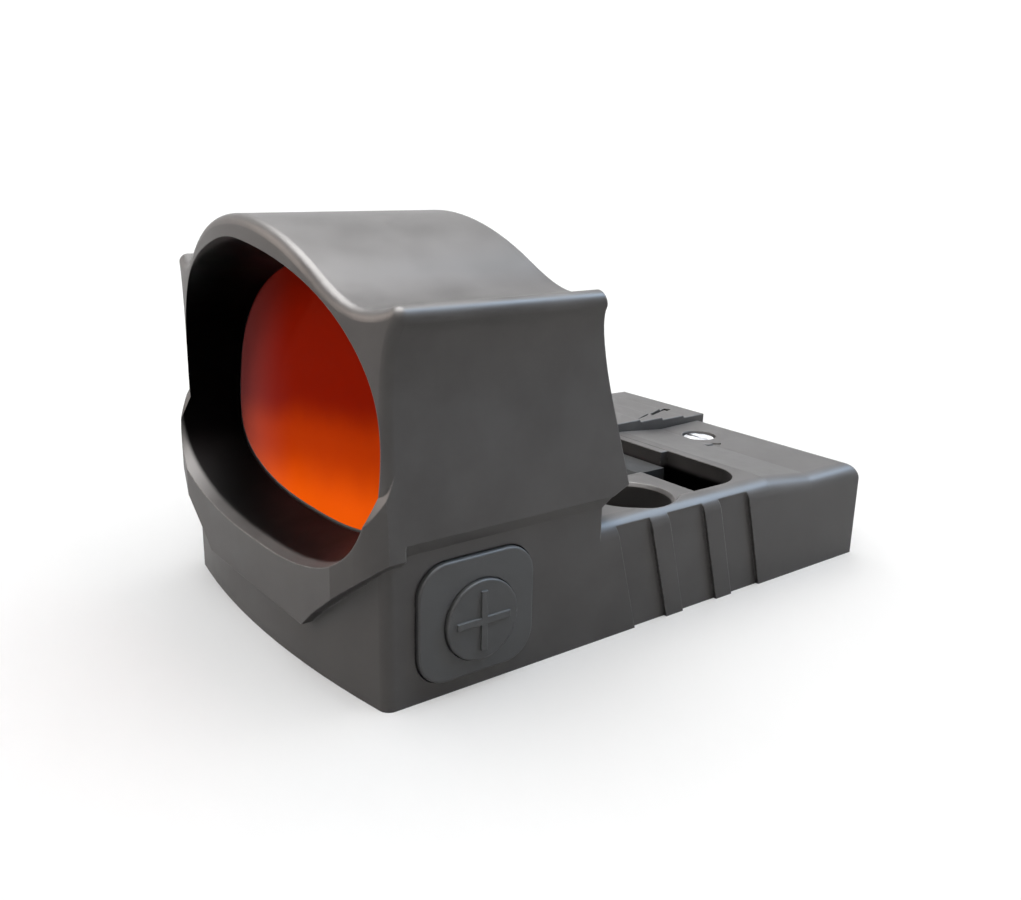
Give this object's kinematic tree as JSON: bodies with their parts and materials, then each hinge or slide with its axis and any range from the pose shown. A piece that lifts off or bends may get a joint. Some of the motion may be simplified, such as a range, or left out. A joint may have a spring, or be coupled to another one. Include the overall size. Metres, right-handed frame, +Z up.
{
  "type": "miniature reflex sight",
  "caption": "Open-emitter miniature red dot sight: one-piece hooded base, orange coated lens, side plus and minus buttons, click adjusters and a flat mounting underside.",
  "frame": {"origin": "middle of the footprint, on the flat mounting underside", "axes": "+Y from the hood's target-side opening to the user's end, +Z up, +X to the user's left (the plus button's side)"},
  "size_m": [0.0302, 0.0446, 0.0264],
  "materials": {
    "anodised": "satin dark grey hard anodising",
    "deck_plate": "satin dark grey hard anodising",
    "cover_plate": "matt black anodising",
    "coated_glass": "red-orange dichroic coating",
    "clear_glass": "polished",
    "sealant": "matt",
    "black_plastic": "matt",
    "led": "clear red",
    "bright_steel": "turned",
    "steel": "plain",
    "brass": "plain",
    "board": "solder mask",
    "chip": "moulded",
    "flex": "polyimide film",
    "rubber": "fine matt",
    "rubber_button": "fine matt",
    "cell": "nickel plated"
  },
  "bodies": {
    "body": {"adjuster_cover": "cover_plate", "battery": "cell", "battery_contact": "brass", "bottom_cover": "cover_plate", "bottom_gasket": "sealant", "circuit_board": "board", "controller_chips": "chip", "cover_screws": "steel", "deck_plate": "deck_plate", "emitter_flex": "flex", "emitter_shroud": "black_plastic", "emitter_window": "clear_glass", "housing": "anodised", "lens_front_element": "coated_glass", "lens_rear_element": "coated_glass", "lens_retainer": "black_plastic", "lens_seal": "sealant", "minus_pad": "rubber", "minus_switch": "chip", "plus_pad": "rubber", "plus_switch": "chip"},
    "plus_button": {"plus_button": "rubber_button", "plus_plunger": "black_plastic"},
    "minus_button": {"minus_button": "rubber_button", "minus_plunger": "black_plastic"},
    "elevation_screw": {"elevation_screw": "bright_steel", "elevation_clip": "steel", "elevation_o_ring": "sealant"},
    "windage_screw": {"windage_screw": "bright_steel", "windage_clip": "steel", "windage_o_ring": "sealant"},
    "elevation_slide": {"elevation_slide": "steel"},
    "emitter": {"emitter_carriage": "black_plastic", "emitter_led": "led"},
    "windage_nut": {"windage_nut": "brass"}
  },
  "joints": [
    {"name": "plus_press", "type": "slide", "parent": "body", "child": "plus_button", "axis": [-1, 0, 0], "range_m": [0, 0.0004], "stiffness_N_per_m": 1500, "springref_m": -0.0001},
    {"name": "minus_press", "type": "slide", "parent": "body", "child": "minus_button", "axis": [1, 0, 0], "range_m": [0, 0.0004], "stiffness_N_per_m": 1500, "springref_m": -0.0001},
    {"name": "elevation_turn", "type": "hinge", "parent": "body", "child": "elevation_screw", "pos_m": [0.0012, 0.01762, 0.006], "axis": [0, 0, 1], "range_deg": [-650, 650]},
    {"name": "elevation_travel", "type": "slide", "parent": "body", "child": "elevation_slide", "axis": [0, 0, 1], "range_m": [-0.00045, 0.00045]},
    {"name": "windage_turn", "type": "hinge", "parent": "body", "child": "windage_screw", "pos_m": [-0.013, 0.01392, 0.0034], "axis": [1, 0, 0], "range_deg": [-650, 650]},
    {"name": "windage_nut_travel", "type": "slide", "parent": "body", "child": "windage_nut", "axis": [1, 0, 0], "range_m": [-0.00045, 0.00045]},
    {"name": "emitter_windage", "type": "slide", "parent": "elevation_slide", "child": "emitter", "axis": [1, 0, 0], "range_m": [-0.00045, 0.00045]}
  ],
  "couplings": [
    {"joint": "elevation_turn", "follows": "elevation_travel", "rad_per_m": -25133},
    {"joint": "windage_turn", "follows": "windage_nut_travel", "rad_per_m": -25133},
    {"joint": "emitter_windage", "follows": "windage_nut_travel", "ratio": 1}
  ]
}
